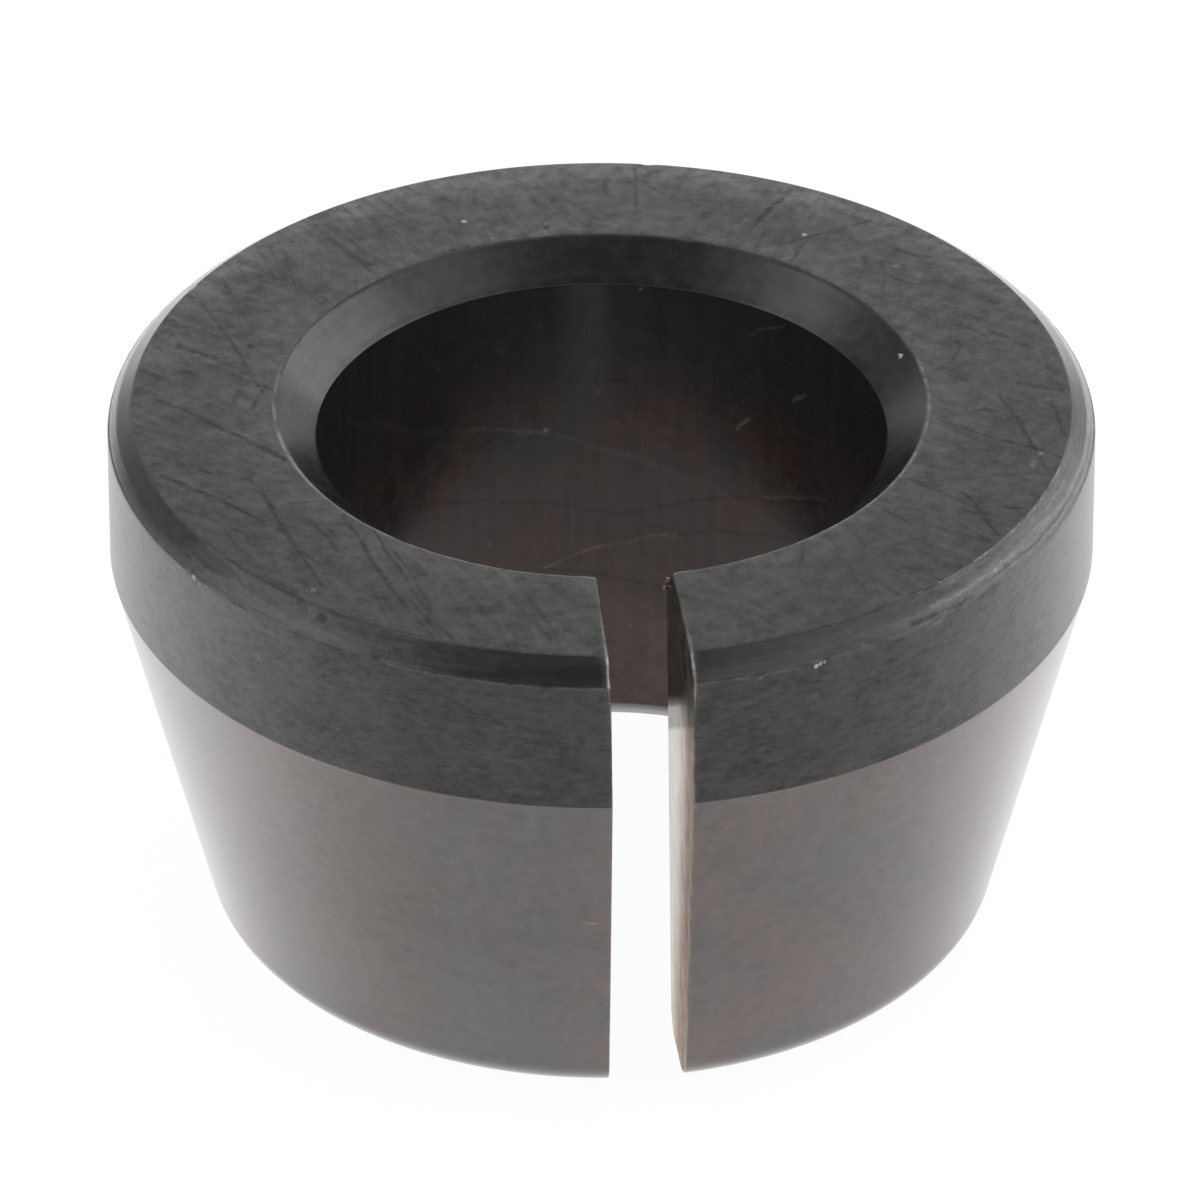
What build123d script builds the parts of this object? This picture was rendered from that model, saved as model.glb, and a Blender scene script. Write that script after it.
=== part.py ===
from build123d import *
import math
import os

# Split taper collet: one slit ring, stood on its small end.
# Millimetres, +Z up, origin at the centre of the foot; the slit opens along -Y.

# --- driving dimensions ---------------------------------------------------
bore_d = 12.7            # the shank it closes on
head_d = 22.0            # cylinder above the taper
height = 12.6
head_h = 3.6             # from the top face down to the start of the taper
taper_deg = 14.2         # half-angle of the outer taper
rim_chamfer = 0.5        # 45 degrees, between top face and cylinder
mouth_d = 14.55          # countersunk mouth of the bore, at the top face
mouth_depth = 0.8
foot_round = 1.0         # from taper to foot
bore_foot_w = 0.3        # steep chamfer from bore to foot: across the foot
bore_foot_h = 0.47       # and up the bore
slit_w = 1.7
edge_break = 0.1         # turned edges, lightly broken
slit_edge_break = 0.05   # sawn edges, deburred

# --- derived --------------------------------------------------------------
bore_r = bore_d / 2
head_r = head_d / 2
mouth_r = mouth_d / 2
taper_top = height - head_h
foot_r = head_r - taper_top * math.tan(math.radians(taper_deg))
bore_foot_r = bore_r + bore_foot_w
rim_r = head_r - rim_chamfer
rim_z = height - rim_chamfer
mouth_z = height - mouth_depth


def corner(sketch, r, z):
    """The corner of the half-section nearest to radius r and height z."""
    return sketch.vertices().sort_by_distance((r, 0, z))[0]


def half_section():
    """The wall of the ring, cut through the axis and drawn on the XZ plane."""
    corners = {
        (bore_r, bore_foot_h): edge_break,
        (bore_foot_r, 0): edge_break,
        (foot_r, 0): foot_round,
        (head_r, taper_top): edge_break,
        (head_r, rim_z): edge_break,
        (rim_r, height): edge_break,
        (mouth_r, height): edge_break,
        (bore_r, mouth_z): edge_break,
    }
    with BuildSketch(Plane.XZ) as section:
        with BuildLine():
            Polyline(*corners, close=True)
        make_face()
        for (r, z), radius in corners.items():
            fillet(corner(section.sketch, r, z), radius)
    return section.sketch


def slit():
    """The saw's way through one side of the ring, from its axis out along -Y."""
    centred = (Align.CENTER, Align.MAX, Align.CENTER)
    return Box(slit_w, head_d, 3 * height, align=centred)


def collet():
    """The turned ring, sawn through once, with the edges of the cut deburred."""
    split_ring = revolve(half_section(), Axis.Z) - slit()
    walls = split_ring.faces().filter_by(Axis.X)
    return fillet(walls.edges(), slit_edge_break)


os.makedirs("parts", exist_ok=True)
export_step(collet(), "parts/collet.step")
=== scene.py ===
"""Looks of the split taper collet: one black-oxide steel ring on a white studio table.

Everything is in metres in the frame of the CAD part; the shape functions work in millimetres.
"""

import math
from functools import reduce

import bpy
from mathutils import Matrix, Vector, noise


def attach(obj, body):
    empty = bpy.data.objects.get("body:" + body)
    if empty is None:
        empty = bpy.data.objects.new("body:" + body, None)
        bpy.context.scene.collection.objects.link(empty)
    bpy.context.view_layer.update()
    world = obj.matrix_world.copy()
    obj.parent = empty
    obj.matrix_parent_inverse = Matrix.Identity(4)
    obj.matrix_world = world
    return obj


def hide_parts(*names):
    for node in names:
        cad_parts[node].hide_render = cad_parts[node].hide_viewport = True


MM = 0.001

# ---- shape of the ring, mm (the CAD part's own sizes)
BORE_R = 6.35
HEAD_R = 11.0
HEIGHT = 12.6
TAPER_TOP = 9.0
TAPER = math.radians(14.2)
FOOT_R = HEAD_R - TAPER_TOP * math.tan(TAPER)
RIM = 0.5
MOUTH_R = 7.275
MOUTH_DEPTH = 0.8
FOOT_ROUND = 1.0
BORE_FOOT_W = 0.3
BORE_FOOT_H = 0.47
EDGE_BREAK = 0.1
MOUTH_EDGE = 0.20
BAND_EDGE = 0.24
BORE_EDGE = 0.04

# ---- how the real surfaces depart from that, mm
RIM_WIDER = 0.045          # the chamfer eats a little further into the face than drawn
RIM_KNEE = 0.015           # the chamfer was turned in two passes and is a little crowned
RIM_KNEE_AT = 0.56         # of the way down it
FACE_CROWN = 0.035         # the lapped face falls away at its outer edge
FACE_CROWN_WIDTH = 2.0
DINGS = (                  # x, y, z of a knocked spot, its radius and depth
    (-0.93, -7.30, 12.6, 0.20, 0.030),
    (0.86, -7.26, 12.6, 0.14, 0.020),
    (-7.10, -7.28, 12.5, 0.22, 0.040),
    (3.78, -10.34, 12.1, 0.20, 0.045),
    (-1.0, -10.4, 12.5, 0.20, 0.035),
    (1.02, -10.45, 12.55, 0.18, 0.030),
    (-5.75, -9.35, 12.1, 0.18, 0.030),
    (9.4, 4.2, 12.5, 0.25, 0.030),
    (-8.7, 5.9, 12.5, 0.22, 0.030),
    (2.1, 10.3, 12.5, 0.22, 0.030),
)

# ---- the sawn slit as it really is: a little open at the outside, a little out of upright
SLIT_HALF = 0.844          # half width at radius SLIT_R and at the top face
SLIT_R = 8.8
SLIT_FLARE = 0.0221        # each wall, mm outward per mm of radius
SLIT_LEAN = -0.01205       # both walls, mm towards +X per mm upwards
SLIT_ROUND = 0.10          # of the slit's edges at the top; only LOW_ROUND of it lower down
LOW_ROUND = 0.35
ROUND_FADES_FROM = 12.1    # height at which the round starts to shrink, and over how much height
ROUND_FADES_OVER = 0.5

# x, y, z, radius, zone: burrs where the slit leaves the bore, and a crumb in the mouth
BURRS = (
    (0.80, -6.47, 11.93, 0.055, "rim"),
    (0.76, -6.34, 11.63, 0.050, "rim"),
    (-0.83, -6.70, 12.16, 0.035, "rim"),
    (6.88, 1.56, 12.40, 0.055, "mouth"),
)
BURR_RAGGED = 0.5          # how far a lump is from round, of its radius

# ---- worn edges: depth in mm of the even rub, the grain and the chips, where wear is 1
RUB_DEPTH = 0.008
GRAIN_DEPTH = 0.008
CHIP_DEPTH = 0.035
CHIP_ABOVE = 0.30          # a chip is where its noise is above this

# ---- mesh density
TURN_STEPS = 560
FLAT_STEP = 0.55
NEAR_EDGE = (0.05, 0.13)   # extra points this far from each corner keep the wear at the edge
ARC_STEPS = 4
FOOT_STEPS = 14
SLIT_ROUND_STEPS = 3
CUT_SPREAD = {0: 0.15}     # how worn the rows next to the slit's rounded edges are
BURR_STEPS = (10, 6)

# zones of the surface, each with its own finish, and how far the edges between them are worn
ZONES = ("face", "rim", "band", "taper", "foot", "bore", "mouth", "sawn")
EDGE_WEAR = {("face", "mouth"): 1.0, ("band", "rim"): 0.6, ("foot", "foot"): 0.4}


# ======================================== geometry
def arc_points(before, at, after, radius, steps):
    """Points of the round that replaces the corner `at`, from the first side to the second."""
    b, p, a = Vector(before), Vector(at), Vector(after)
    u, w = (b - p).normalized(), (a - p).normalized()
    half = math.acos(max(-1.0, min(1.0, u.dot(w)))) / 2
    setback = radius / math.tan(half)
    centre = p + (u + w).normalized() * (radius / math.sin(half))
    start, end = p + u * setback, p + w * setback
    s, e = start - centre, end - centre
    turn = math.atan2(s.x * e.y - s.y * e.x, s.dot(e))
    points = []
    for i in range(steps + 1):
        t = turn * i / steps
        c, d = math.cos(t), math.sin(t)
        points.append(centre + Vector((s.x * c - s.y * d, s.x * d + s.y * c)))
    return points


def half_section():
    """The wall's closed section: radius, z, zone of the strip that follows and edge wear each."""
    knee_r = HEAD_R - RIM * (1 - RIM_KNEE_AT) + RIM_KNEE
    knee_z = HEIGHT - RIM * RIM_KNEE_AT + RIM_KNEE
    corners = [  # radius, z, round, round's steps, zone of the side that follows
        (BORE_R, BORE_FOOT_H, EDGE_BREAK, ARC_STEPS, "foot"),
        (BORE_R + BORE_FOOT_W, 0.0, EDGE_BREAK, ARC_STEPS, "foot"),
        (FOOT_R, 0.0, FOOT_ROUND, FOOT_STEPS, "taper"),
        (HEAD_R, TAPER_TOP, EDGE_BREAK, 2, "band"),
        (HEAD_R, HEIGHT - RIM, BAND_EDGE, ARC_STEPS, "rim"),
        (knee_r, knee_z, EDGE_BREAK, 2, "rim"),
        (HEAD_R - RIM - RIM_WIDER, HEIGHT, EDGE_BREAK, ARC_STEPS, "face"),
        (MOUTH_R, HEIGHT, MOUTH_EDGE, ARC_STEPS, "mouth"),
        (BORE_R, HEIGHT - MOUTH_DEPTH, BORE_EDGE, 2, "bore"),
    ]
    n = len(corners)
    section = []
    for i, (r, z, radius, steps, zone) in enumerate(corners):
        last_zone = corners[i - 1][4]
        arc = arc_points(corners[i - 1][:2], (r, z), corners[(i + 1) % n][:2], radius, steps)
        worn = EDGE_WEAR.get((last_zone, zone), 0.0)
        for k, p in enumerate(arc):
            side = last_zone if k < steps / 2 else zone
            wear = worn * math.sin(math.pi * k / steps)
            section.append([p.x, p.y, side if k < steps else zone, wear])
        nxt = corners[(i + 1) % n]
        following = arc_points((r, z), nxt[:2], corners[(i + 2) % n][:2], nxt[2], 1)[0]
        run = following - arc[-1]
        length = run.length
        near = [d for d in NEAR_EDGE if d < length / 3]
        inner = length - 2 * (near[-1] if near else 0.0)
        cuts = max(1, round(inner / FLAT_STEP))
        start = near[-1] if near else 0.0
        between = range(0, cuts + 1) if near else range(1, cuts)
        places = near[:-1] + [start + inner * k / cuts for k in between]
        places += [length - d for d in reversed(near[:-1])]
        for d in places:
            p = arc[-1] + run * (d / length)
            section.append([p.x, p.y, zone, 0.0])
    return section


def crown(r, z):
    """How far the lapped face has fallen away at radius r, mm."""
    if z < HEIGHT - RIM:
        return 0.0
    t = max(0.0, r - (HEAD_R - RIM - FACE_CROWN_WIDTH)) / FACE_CROWN_WIDTH
    return FACE_CROWN * min(t, 1.0) ** 2


def section_normals(section):
    """Outward unit normals of the closed section, one at each point."""
    n = len(section)
    normals = []
    for i in range(n):
        a, b = section[i - 1], section[(i + 1) % n]
        t = Vector((b[0] - a[0], b[1] - a[1])).normalized()
        normals.append(Vector((t.y, -t.x)))
    return normals


def wall_offset(side, r, z):
    """How far a slit wall, on side +1 or -1, lies from the slit's middle plane."""
    return side * (SLIT_HALF + SLIT_FLARE * (r - SLIT_R)) + SLIT_LEAN * (z - HEIGHT)


def slit_round(z):
    """How rounded the slit's edges are at a height, mm."""
    low = min(1.0, max(0.0, (ROUND_FADES_FROM - z) / ROUND_FADES_OVER))
    return SLIT_ROUND * (1 - (1 - LOW_ROUND) * low)


def point_on(r, z, u=None, turn=None):
    """A point at radius r, u across from the slit's plane or at an angle from -Y towards +X."""
    if turn is None:
        turn = math.asin(u / r)
    return Vector((r * math.sin(turn), -r * math.cos(turn), z))


def nick(p, wear):
    """How deep the surface is rubbed back or knocked in at p, mm."""
    depth = 0.0
    for x, y, z, radius, deep in DINGS:
        near = 1.0 - ((p.x - x) ** 2 + (p.y - y) ** 2 + (p.z - z) ** 2) / radius ** 2
        if near > 0.0:
            depth += deep * near * near
    if wear > 0.0:
        rub = 0.5 + 0.5 * noise.noise(p * 0.9)
        grain = noise.noise(p * 3.1 + Vector((7.0, 1.0, 3.0)))
        chip = max(0.0, noise.noise(p * 4.7 + Vector((2.0, 9.0, 4.0))) - CHIP_ABOVE)
        depth += wear * (RUB_DEPTH * rub + GRAIN_DEPTH * max(0.0, grain) + CHIP_DEPTH * chip)
    return depth


def add_burr(burr, verts, faces):
    """Add a small ragged closed lump to the lists."""
    middle, radius = Vector(burr[:3]), burr[3]
    around, up = BURR_STEPS
    first = len(verts)
    for j in range(up + 1):
        for i in range(around if 0 < j < up else 1):
            rise, turn = math.pi * j / up, 2 * math.pi * i / around
            flat = math.sin(rise)
            way = Vector((flat * math.cos(turn), flat * math.sin(turn), math.cos(rise)))
            ragged = 1 + BURR_RAGGED * noise.noise(middle * 9 + way * 1.3)
            verts.append((middle + way * radius * ragged) * MM)
    rows = [[first + 1 + around * j + i for i in range(around)] for j in range(up - 1)]
    ring = [[first]] + rows + [[len(verts) - 1]]
    for i in range(around):
        k = (i + 1) % around
        faces.append((ring[0][0], ring[1][i], ring[1][k]))
        faces.append((ring[-1][0], ring[-2][k], ring[-2][i]))
        for a, b in zip(ring[1:-2], ring[2:-1]):
            faces.append((a[i], b[i], b[k], a[k]))


def build_ring():
    """The ring and its burrs as one mesh, with each zone's material and how worn its edges are."""
    section = half_section()
    for point in section:
        point[1] -= crown(point[0], point[1])
    normals = section_normals(section)
    n = len(section)
    verts, wears, cuts, rows = [], [], [], []

    def add_row(place, inset, cut):
        row = []
        for (r, z, _, wear), normal in zip(section, normals):
            r2, z2 = r - normal.x * inset * slit_round(z), z - normal.y * inset * slit_round(z)
            p = place(r2, z2)
            out = Vector((p.x, p.y, 0.0)).normalized() * normal.x + Vector((0.0, 0.0, normal.y))
            p = p - out * nick(p, wear)
            row.append(len(verts))
            verts.append(p * MM)
            wears.append(wear)
            cuts.append(cut)
        rows.append(row)

    def rounded(side, steps):
        for k in steps:
            a = math.pi / 2 * k / SLIT_ROUND_STEPS
            inset, back = 1 - math.cos(a), 1 - math.sin(a)

            def place(r, z, back=back):
                return point_on(r, z, u=wall_offset(side, r, z) + side * back * slit_round(z))
            add_row(place, inset, 1.0)

    rounded(+1, range(SLIT_ROUND_STEPS, 0, -1))
    for j in range(TURN_STEPS + 1):
        def place(r, z, j=j):
            first = math.asin((wall_offset(+1, r, z) + slit_round(z)) / r)
            last = 2 * math.pi + math.asin((wall_offset(-1, r, z) - slit_round(z)) / r)
            return point_on(r, z, turn=first + (last - first) * j / TURN_STEPS)
        add_row(place, 0.0, CUT_SPREAD.get(min(j, TURN_STEPS - j), 0.0))
    rounded(-1, range(1, SLIT_ROUND_STEPS + 1))

    faces, zones = [], []
    for a, b in zip(rows[:-1], rows[1:]):
        for i in range(n):
            k = (i + 1) % n
            faces.append((a[i], a[k], b[k], b[i]))
            zones.append(ZONES.index(section[i][2]))
    faces.append(tuple(reversed(rows[0])))
    faces.append(tuple(rows[-1]))
    zones += [ZONES.index("sawn")] * 2
    for burr in BURRS:
        add_burr(burr, verts, faces)
        zones += [ZONES.index(burr[-1])] * (len(faces) - len(zones))
    wears += [0.0] * (len(verts) - len(wears))
    cuts += [1.0] * (len(verts) - len(cuts))

    mesh = bpy.data.meshes.new("collet_body")
    mesh.from_pydata(verts, [], faces)
    mesh.polygons.foreach_set("material_index", zones)
    mesh.polygons.foreach_set("use_smooth", [zone != ZONES.index("sawn") for zone in zones])
    for name, values in (("wear", wears), ("cut", cuts)):
        mesh.attributes.new(name, "FLOAT", "POINT").data.foreach_set("value", values)
    mesh.validate()
    mesh.update()
    body = bpy.data.objects.new("collet_body", mesh)
    bpy.context.scene.collection.objects.link(body)
    return body


# ======================================== marks
# Marks that stand out: start, end, half width (mm), strength (dark above 0, light below).
# Specks: place, radius (mm), strength.
FACE_MARKS = (   # x, y of the start and the end on the lapped face
    (-8.6, 5.2, -8.1, 3.7, 0.05, 0.3), (-8.1, 3.7, -7.8, 2.4, 0.06, 0.36),
    (-7.8, 2.4, -7.5, 1.4, 0.05, 0.28), (-9.15, 3.3, -8.4, 2.65, 0.07, 0.42),
    (-10.1, 2.3, -9.35, 1.55, 0.08, 0.38), (-9.9, 1.15, -8.9, 0.15, 0.08, 0.36),
    (-8.9, 0.15, -7.2, -1.75, 0.07, 0.48), (-7.35, 1.4, -7.72, 0.5, 0.05, 0.44),
    (-8.0, 1.2, -8.12, 0.8, 0.07, 0.3), (-10.3, -1.2, -9.75, -1.4, 0.05, 0.42),
    (-9.6, -1.6, -8.85, -2.1, 0.06, 0.36), (-9.95, -2.1, -7.85, -4.3, 0.065, 0.52),
    (-8.1, -2.4, -7.77, -3.2, 0.05, 0.34), (-7.77, -3.2, -7.5, -4.45, 0.055, 0.5),
    (-7.5, -4.45, -6.85, -6.95, 0.05, 0.46), (-7.25, -3.64, -6.5, -3.6, 0.045, 0.3),
    (-9.73, -3.45, -8.5, -4.6, 0.07, 0.26), (-8.36, -4.7, -8.0, -5.5, 0.06, 0.34),
    (-6.1, -4.2, -5.45, -6.9, 0.06, 0.52), (-5.45, -6.9, -4.6, -9.3, 0.05, 0.34),
    (-5.5, -4.85, -5.1, -6.6, 0.045, 0.46), (-5.1, -6.6, -4.75, -7.9, 0.045, 0.36),
    (-5.15, -5.7, -4.6, -7.8, 0.04, 0.4), (-4.95, -7.8, -4.4, -9.3, 0.045, 0.34),
    (-6.9, -4.35, -6.35, -5.65, 0.06, 0.32), (-4.65, -8.5, -4.2, -9.4, 0.05, 0.3),
    (-3.85, -8.3, -3.6, -9.2, 0.11, 0.24), (-2.8, -7.9, -2.05, -9.65, 0.06, 0.32),
    (-2.4, -8.0, -1.9, -9.5, 0.05, 0.26), (-8.3, -4.3, -7.7, -6.0, 0.06, 0.24),
    (-8.8, -4.6, -8.3, -5.7, 0.05, 0.24), (3.76, -6.5, 3.6, -7.5, 0.05, 0.26),
    (4.3, -6.05, 4.55, -6.65, 0.07, 0.32), (5.0, -5.95, 5.1, -6.7, 0.05, 0.28),
    (5.6, -4.95, 6.25, -5.8, 0.045, 0.36), (6.65, -5.85, 7.85, -6.65, 0.05, 0.24),
    (7.5, -4.6, 7.75, -5.2, 0.05, 0.42), (7.75, -5.2, 8.1, -6.35, 0.05, 0.5),
    (5.2, -7.9, 5.6, -8.6, 0.06, 0.3), (4.7, -7.7, 4.95, -8.3, 0.06, 0.26),
    (3.1, -8.7, 3.6, -9.2, 0.16, 0.2), (1.9, -8.8, 2.5, -9.8, 0.07, 0.2),
    (2.4, -8.9, 2.9, -9.7, 0.05, 0.18), (6.25, -7.6, 6.4, -7.75, 0.12, 0.28),
    (7.3, -1.5, 8.0, -2.1, 0.045, 0.38), (8.0, -2.1, 9.27, -2.9, 0.055, 0.55),
    (9.27, -2.9, 9.85, -3.35, 0.06, 0.5), (8.8, -0.6, 9.1, -1.65, 0.05, 0.34),
    (9.1, -1.65, 9.27, -2.65, 0.05, 0.44), (9.27, -2.65, 9.45, -3.8, 0.05, 0.42),
    (9.9, -0.9, 10.1, -2.3, 0.05, 0.36), (9.05, -1.9, 10.0, -1.5, 0.045, 0.34),
    (8.25, -1.25, 8.6, -1.32, 0.05, 0.4), (6.4, -3.9, 7.0, -4.45, 0.07, 0.4),
    (7.0, -4.45, 7.8, -5.45, 0.045, 0.24), (8.2, -5.25, 8.75, -5.35, 0.06, 0.34),
    (7.2, -5.8, 7.9, -6.65, 0.045, 0.3), (7.0, -4.05, 9.1, -3.95, 0.05, 0.2),
    (6.9, 6.3, 7.7, 5.5, 0.08, 0.34), (7.0, 4.75, 7.45, 4.35, 0.06, 0.42),
    (8.1, 4.4, 9.3, 3.3, 0.13, 0.36), (6.5, 3.9, 8.6, 2.2, 0.04, 0.28),
    (9.0, 2.1, 9.8, 1.35, 0.06, 0.36), (6.6, 5.6, 6.2, 4.2, 0.05, 0.28),
    (6.95, 5.4, 6.8, 4.2, 0.05, 0.22), (7.7, 4.7, 7.15, 3.4, 0.06, -0.2),
    (8.2, 0.8, 8.3, 0.7, 0.13, 0.4), (9.35, -0.2, 10.25, -0.55, 0.07, 0.34),
    (7.45, 0.3, 8.0, 1.0, 0.04, 0.22), (8.0, 1.0, 8.3, 1.55, 0.04, 0.26),
    (8.3, 1.55, 8.8, 1.95, 0.05, 0.28), (4.9, 5.6, 5.4, 6.5, 0.05, 0.34),
    (-4.65, 9.0, -4.2, 7.8, 0.06, 0.3), (-5.5, 7.6, -4.6, 6.3, 0.07, 0.36),
    (-5.0, 7.4, -4.3, 6.3, 0.05, 0.26), (-5.2, 7.0, -4.5, 5.9, 0.06, 0.34),
    (-2.8, 8.6, -2.5, 7.2, 0.06, 0.28), (-2.0, 9.4, -2.0, 8.8, 0.06, 0.26),
    (1.06, 9.7, 1.0, 8.9, 0.05, 0.36), (1.75, 10.0, 1.6, 8.0, 0.05, 0.3),
    (1.75, 9.6, 2.3, 8.8, 0.06, 0.3), (5.0, 8.35, 4.05, 6.95, 0.05, 0.46),
    (4.65, 7.95, 4.1, 7.2, 0.04, 0.34), (4.75, 6.3, 5.6, 6.65, 0.05, 0.36),
    (5.6, 6.65, 6.9, 7.2, 0.05, 0.32), (2.9, 9.6, 2.5, 8.8, 0.06, 0.22),
    (-8.8, 2.9, -8.5, 2.5, 0.06, -0.35),
)
FACE_SPECKS = (
    (-7.1, -7.16, 0.08, -0.9), (-6.92, -7.04, 0.07, -0.9), (9.24, -3.48, 0.08, -0.9),
    (-7.59, 3.09, 0.13, 0.6), (-0.53, 7.62, 0.11, 0.6), (-0.53, 7.78, 0.08, -0.8),
    (-2.32, 8.05, 0.09, -3.0), (4.04, 7.53, 0.08, -0.8), (5.32, 6.67, 0.1, -3.0),
    (7.25, 5.1, 0.11, -1.2), (-1.76, 7.24, 0.08, -0.7), (9.4, -3.17, 0.1, -1.4),
    (9.18, -3.62, 0.09, -0.8), (9.9, -0.9, 0.08, -0.7), (-7.0, -7.1, 0.1, -1.4),
    (-6.97, -5.35, 0.1, -0.5), (-2.0, -7.55, 0.07, -0.4), (8.05, -2.3, 0.07, -0.5),
    (5.15, 6.1, 0.06, -0.5), (-9.75, 3.35, 0.14, -0.35), (4.6, -8.8, 0.1, -0.45),
    (-8.55, -6.3, 0.08, -0.4),
)
BORE_MARKS = (   # arc from the far side (towards -X), z of the start and the end in the bore
    (-0.5, 7.2, -0.5, 11.8, 0.75, 0.13), (-5.6, 6.05, -3.8, 6.5, 0.045, -0.3),
    (-3.8, 6.5, -1.8, 7.05, 0.04, -0.3), (-1.8, 7.05, 0.6, 7.85, 0.04, -0.35),
    (0.6, 7.85, 2.3, 8.3, 0.05, -0.75), (2.3, 8.3, 3.8, 8.7, 0.06, -0.35),
    (3.8, 8.7, 6.6, 10.4, 0.09, -0.35), (-6.6, 7.6, -4.5, 6.8, 0.035, -0.9),
    (-6.4, 7.4, -4.5, 6.7, 0.04, 0.4), (-4.5, 6.8, -2.8, 6.2, 0.035, 0.35),
    (-2.8, 6.2, -1.1, 5.6, 0.04, 0.3), (-1.1, 5.6, 1.3, 6.15, 0.04, 0.34),
    (1.3, 6.15, 3.8, 6.8, 0.04, 0.38), (3.8, 6.8, 6.0, 7.25, 0.035, 0.3),
    (-5.4, 6.0, -3.7, 5.6, 0.04, 0.34), (-3.7, 5.6, -2.2, 5.15, 0.035, 0.4),
    (-2.4, 5.2, -1.6, 5.05, 0.035, -0.9), (-1.6, 5.0, -0.6, 4.75, 0.035, -0.6),
    (-0.6, 4.75, 0.65, 4.3, 0.03, -0.9), (-2.2, 5.3, -1.0, 5.6, 0.035, 0.32),
    (-2.1, 3.75, -0.2, 4.05, 0.04, 0.34), (-0.2, 4.05, 0.8, 4.25, 0.04, 0.3),
    (-1.7, 9.25, 0.2, 9.25, 0.04, 0.22), (-5.8, 10.05, -5.4, 9.75, 0.04, -2.2),
    (-4.2, 8.75, -3.85, 8.45, 0.045, -2.4), (-5.1, 11.6, -4.15, 11.0, 0.03, -1.1),
    (-5.9, 9.0, -3.8, 8.9, 0.07, -0.18), (1.1, 11.6, 1.7, 10.2, 0.07, -0.2),
    (-3.4, 10.6, -2.9, 9.6, 0.07, -0.15), (4.0, 11.3, 3.2, 10.1, 0.08, -0.16),
)
BORE_SPECKS = (
    (0.63, 7.95, 0.085, -3.0), (2.0, 5.18, 0.07, -1.0), (-1.4, 4.4, 0.05, -0.4),
    (-1.3, 2.65, 0.055, -0.9), (-0.55, 8.95, 0.06, -0.8), (-1.5, 11.68, 0.06, -2.4),
)
MOUTH_SPECKS = (     # x, y: the first lights up the crumb, the last two the slit's corners
    (6.88, 1.56, 0.07, -14.0), (-0.9, 6.9, 0.05, -0.5), (2.4, 6.6, 0.05, -0.6),
    (0.82, -6.62, 0.1, -1.6), (-0.8, -6.9, 0.09, -0.9),
)
RIM_MARKS = (        # arc from the slit (towards +X), distance down the chamfer from the face
    (-12.0, 0.05, -8.9, 0.04, 0.03, -0.24), (-8.4, 0.05, -4.5, 0.05, 0.03, -0.24),
    (-12.2, 0.42, -8.8, 0.4, 0.035, -0.2), (-8.5, 0.4, -5.0, 0.41, 0.03, -0.18),
    (-11.8, 0.55, -6.8, 0.57, 0.1, -0.12), (-10.76, 0.06, -10.0, 0.27, 0.03, -0.32),
    (-8.0, 0.27, -7.86, 0.1, 0.035, -0.22), (-7.86, 0.1, -7.66, 0.14, 0.035, -0.26),
    (-7.64, 0.16, -7.6, 0.3, 0.035, -0.16), (-7.64, 0.33, -7.8, 0.4, 0.035, -0.12),
    (-7.84, 0.22, -7.74, 0.26, 0.1, 0.36), (-8.65, 0.06, -8.5, 0.26, 0.035, -0.26),
    (-8.5, 0.26, -8.35, 0.08, 0.03, -0.2), (-8.6, 0.16, -8.45, 0.14, 0.06, 0.25),
    (-8.2, 0.14, -8.05, 0.34, 0.03, -0.26), (-5.95, 0.66, -5.9, 0.5, 0.035, 0.5),
    (4.4, 0.04, 6.8, 0.035, 0.03, -0.45), (6.8, 0.035, 9.5, 0.035, 0.04, -0.85),
    (9.5, 0.035, 13.3, 0.045, 0.045, -0.9), (1.0, 0.41, 6.5, 0.41, 0.025, -0.14),
    (6.9, 0.42, 9.0, 0.42, 0.04, -0.55), (9.0, 0.43, 12.0, 0.43, 0.05, -0.55),
    (12.0, 0.45, 16.4, 0.52, 0.05, -0.5), (8.2, 0.33, 11.5, 0.33, 0.025, -0.32),
    (10.5, 0.24, 13.0, 0.26, 0.025, -0.28), (9.5, 0.6, 16.0, 0.66, 0.03, -0.35),
    (6.3, 0.6, 8.0, 0.66, 0.07, 0.5), (8.2, 0.53, 12.5, 0.56, 0.03, 0.25),
    (6.2, 0.1, 13.0, 0.1, 0.022, 0.22), (7.0, 0.2, 7.9, 0.24, 0.05, 0.25),
    (8.6, 0.22, 9.6, 0.2, 0.04, 0.22), (-5.0, 0.2, -4.2, 0.26, 0.05, 0.22),
    (4.6, 0.22, 5.2, 0.55, 0.03, -0.2), (7.6, 0.25, 7.9, 0.14, 0.03, -0.4),
)
RIM_SPECKS = (
    (7.5, 0.05, 0.06, -0.9), (8.9, 0.04, 0.06, -0.7), (10.6, 0.05, 0.06, -0.9),
    (12.1, 0.06, 0.07, -0.8), (13.2, 0.07, 0.07, -0.9), (-11.68, 0.67, 0.07, -0.9),
    (4.92, 0.65, 0.06, -0.6), (-6.4, 0.3, 0.05, -0.4), (-5.4, 0.05, 0.05, -0.5),
)
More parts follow.
